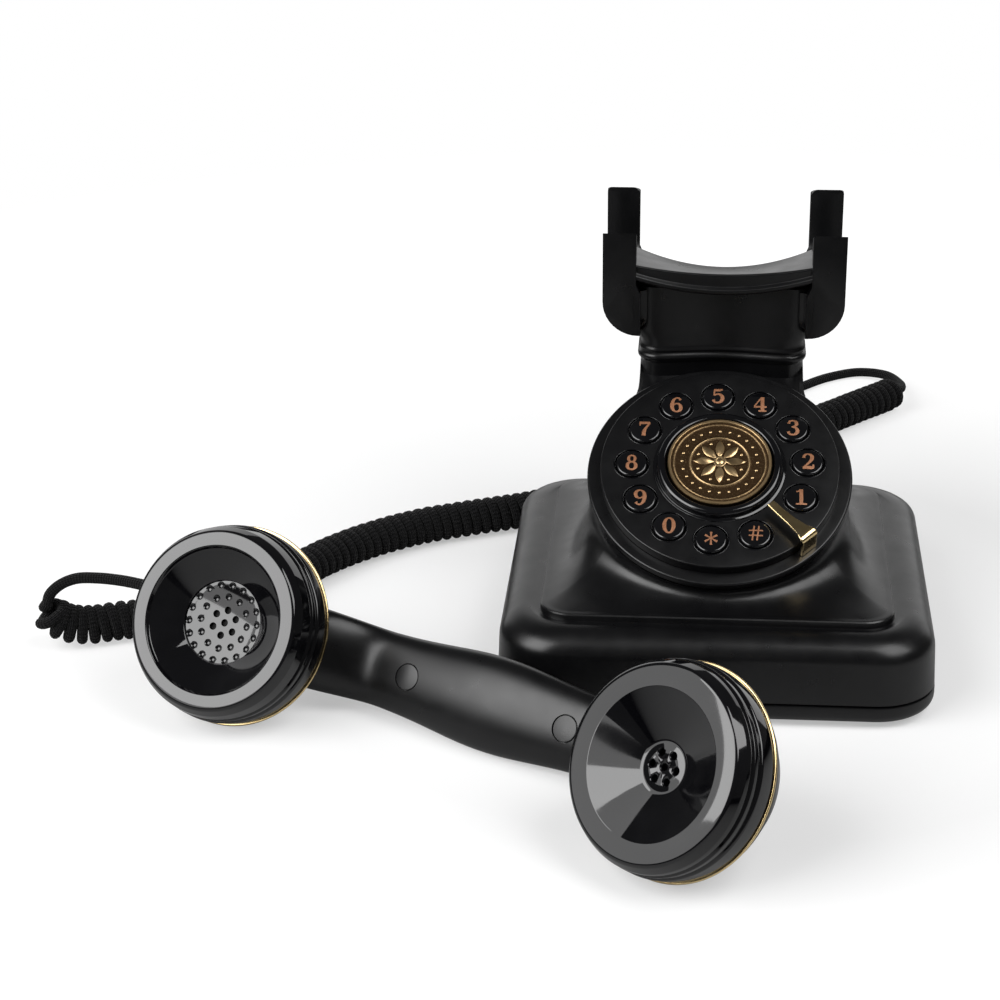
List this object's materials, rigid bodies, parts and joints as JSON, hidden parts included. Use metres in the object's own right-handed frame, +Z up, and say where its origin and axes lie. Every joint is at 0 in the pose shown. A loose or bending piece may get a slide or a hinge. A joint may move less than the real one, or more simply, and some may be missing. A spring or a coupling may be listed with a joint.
{
  "type": "push-button desk telephone",
  "caption": "Retro push-button desk telephone: tilted round keypad styled as a dial, forked cradle on a pillar, and an off-hook handset on a curly braided cord.",
  "frame": {"origin": "centre of the base pan's flat underside; the rubber feet stand 1.5 mm below it", "axes": "+Z up, -Y towards the front, where the dial faces, +X to the user's right"},
  "size_m": [0.3093, 0.4241, 0.1391],
  "materials": {
    "satin_black": "satin moulded ABS, fine spark texture",
    "gloss_black": "piano-black gloss",
    "gold": "polished pale gold plate",
    "antique_brass": "antiqued relief, dark in the hollows",
    "rubber": "matt rubber",
    "steel": "plain zinc-plated steel",
    "board": "green solder mask",
    "braid": "black braided textile cover"
  },
  "bodies": {
    "base": {"base_pan": "satin_black", "housing": "satin_black", "dial_bezel": "satin_black", "dial_plate": "satin_black", "cradle": "satin_black", "hub_ring": "gloss_black", "hook_switch": "gloss_black", "ringer": "gloss_black", "line_socket": "gloss_black", "finger_stop": "gold", "foot_1": "rubber", "foot_2": "rubber", "foot_3": "rubber", "foot_4": "rubber", "base_cord_relief": "rubber", "key_mat": "rubber", "base_screw_1": "steel", "base_screw_2": "steel", "base_screw_3": "steel", "base_screw_4": "steel", "ballast_plate": "steel", "hook_spring": "steel", "main_board": "board", "keypad_board": "board", "cord_lead_base": "braid", "cord_coil": "braid"},
    "handset": {"mouth_cup": "satin_black", "ear_cup": "satin_black", "mouth_trim_ring": "gold", "ear_trim_ring": "gold", "mouth_cap": "gloss_black", "ear_cap": "gloss_black", "microphone": "steel", "receiver": "steel", "handle_front_shell": "satin_black", "handle_rear_shell": "satin_black", "handle_plug_mouth": "satin_black", "handle_plug_ear": "satin_black", "handset_cord_relief": "rubber", "cord_lead_handset": "braid"},
    "hook": {"hook_yoke": "gloss_black"},
    "rocker": {"redial_recall_rocker": "antique_brass"},
    "key_5": {"key_5": "gloss_black"},
    "key_6": {"key_6": "gloss_black"},
    "key_7": {"key_7": "gloss_black"},
    "key_8": {"key_8": "gloss_black"},
    "key_9": {"key_9": "gloss_black"},
    "key_0": {"key_0": "gloss_black"},
    "key_star": {"key_star": "gloss_black"},
    "key_hash": {"key_hash": "gloss_black"},
    "key_4": {"key_4": "gloss_black"},
    "key_3": {"key_3": "gloss_black"},
    "key_2": {"key_2": "gloss_black"},
    "key_1": {"key_1": "gloss_black"}
  },
  "joints": [
    {"name": "handset_lift", "type": "slide", "parent": "base", "child": "handset", "axis": [0, 0, 1], "range_m": [0, 0.2]},
    {"name": "hook_press", "type": "slide", "parent": "base", "child": "hook", "axis": [0, 0, -1], "range_m": [0, 0.004], "stiffness_N_per_m": 120, "springref_m": -0.003, "deforming": ["hook_spring"]},
    {"name": "redial_recall_rock", "type": "hinge", "parent": "base", "child": "rocker", "pos_m": [0, -0.01114, 0.0604], "axis": [1, 0, 0], "range_deg": [-2.5, 2.5], "stiffness_Nm_per_rad": 0.4},
    {"name": "key_5_press", "type": "slide", "parent": "base", "child": "key_5", "axis": [0, 0.5195, -0.8545], "range_m": [0, 0.0012], "stiffness_N_per_m": 300, "springref_m": -0.001},
    {"name": "key_6_press", "type": "slide", "parent": "base", "child": "key_6", "axis": [0, 0.5195, -0.8545], "range_m": [0, 0.0012], "stiffness_N_per_m": 300, "springref_m": -0.001},
    {"name": "key_7_press", "type": "slide", "parent": "base", "child": "key_7", "axis": [0, 0.5195, -0.8545], "range_m": [0, 0.0012], "stiffness_N_per_m": 300, "springref_m": -0.001},
    {"name": "key_8_press", "type": "slide", "parent": "base", "child": "key_8", "axis": [0, 0.5195, -0.8545], "range_m": [0, 0.0012], "stiffness_N_per_m": 300, "springref_m": -0.001},
    {"name": "key_9_press", "type": "slide", "parent": "base", "child": "key_9", "axis": [0, 0.5195, -0.8545], "range_m": [0, 0.0012], "stiffness_N_per_m": 300, "springref_m": -0.001},
    {"name": "key_0_press", "type": "slide", "parent": "base", "child": "key_0", "axis": [0, 0.5195, -0.8545], "range_m": [0, 0.0012], "stiffness_N_per_m": 300, "springref_m": -0.001},
    {"name": "key_star_press", "type": "slide", "parent": "base", "child": "key_star", "axis": [0, 0.5195, -0.8545], "range_m": [0, 0.0012], "stiffness_N_per_m": 300, "springref_m": -0.001},
    {"name": "key_hash_press", "type": "slide", "parent": "base", "child": "key_hash", "axis": [0, 0.5195, -0.8545], "range_m": [0, 0.0012], "stiffness_N_per_m": 300, "springref_m": -0.001},
    {"name": "key_4_press", "type": "slide", "parent": "base", "child": "key_4", "axis": [0, 0.5195, -0.8545], "range_m": [0, 0.0012], "stiffness_N_per_m": 300, "springref_m": -0.001},
    {"name": "key_3_press", "type": "slide", "parent": "base", "child": "key_3", "axis": [0, 0.5195, -0.8545], "range_m": [0, 0.0012], "stiffness_N_per_m": 300, "springref_m": -0.001},
    {"name": "key_2_press", "type": "slide", "parent": "base", "child": "key_2", "axis": [0, 0.5195, -0.8545], "range_m": [0, 0.0012], "stiffness_N_per_m": 300, "springref_m": -0.001},
    {"name": "key_1_press", "type": "slide", "parent": "base", "child": "key_1", "axis": [0, 0.5195, -0.8545], "range_m": [0, 0.0012], "stiffness_N_per_m": 300, "springref_m": -0.001}
  ]
}
